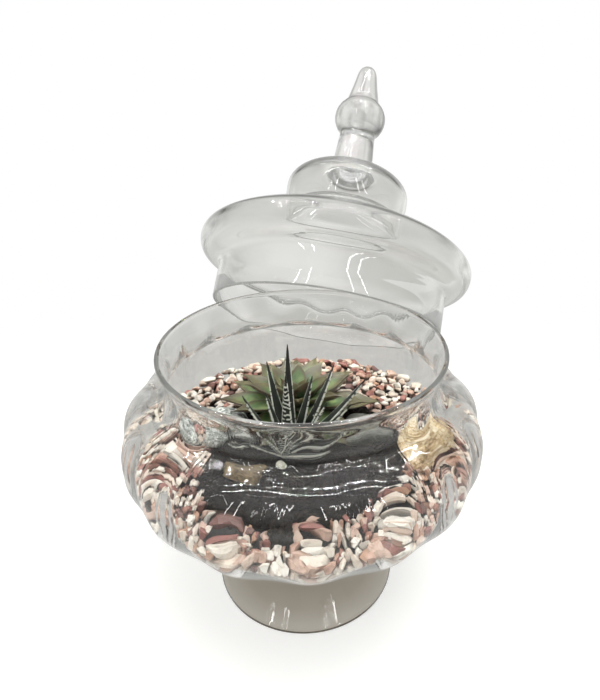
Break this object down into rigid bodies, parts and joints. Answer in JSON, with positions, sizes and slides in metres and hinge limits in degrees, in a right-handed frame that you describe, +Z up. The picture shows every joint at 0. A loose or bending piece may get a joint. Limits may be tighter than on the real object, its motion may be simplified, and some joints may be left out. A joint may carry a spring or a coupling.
{
  "type": "glass plant terrarium",
  "caption": "lobed glass jar on a hollow foot, planted with an echeveria and a haworthia in soil ringed by pink marble chips, its glass lid hooked open over the back rim",
  "frame": {"origin": "the middle of the whole object's footprint box, on the surface that the foot stands on; the jar's own axis is 30 mm in front of it, at y = -0.0301", "axes": "+Z up along the jar's axis, -Y towards the side that the lid leaves open, +X to the right as seen from there"},
  "size_m": [0.2208, 0.281, 0.3234],
  "materials": {
    "glass": "gloss",
    "white_marble": "matte",
    "pink_marble": "matte",
    "soil": "matte",
    "granite": "matte",
    "dark_rock": "matte",
    "honey_rock": "matte",
    "brown_rock": "matte",
    "pale_rock": "matte",
    "echeveria_leaf": "satin",
    "haworthia_leaf": "satin"
  },
  "bodies": {
    "root": {"glass_jar": "glass", "glass_lid": "glass", "white_stone_bed": "white_marble", "pink_gravel_bed": "pink_marble", "soil": "soil", "granite_pebble": "granite", "dark_stone": "dark_rock", "honey_rock": "honey_rock", "brown_stone": "brown_rock", "pale_pebble": "pale_rock", "echeveria": "echeveria_leaf", "haworthia": "haworthia_leaf"}
  },
  "joints": []
}
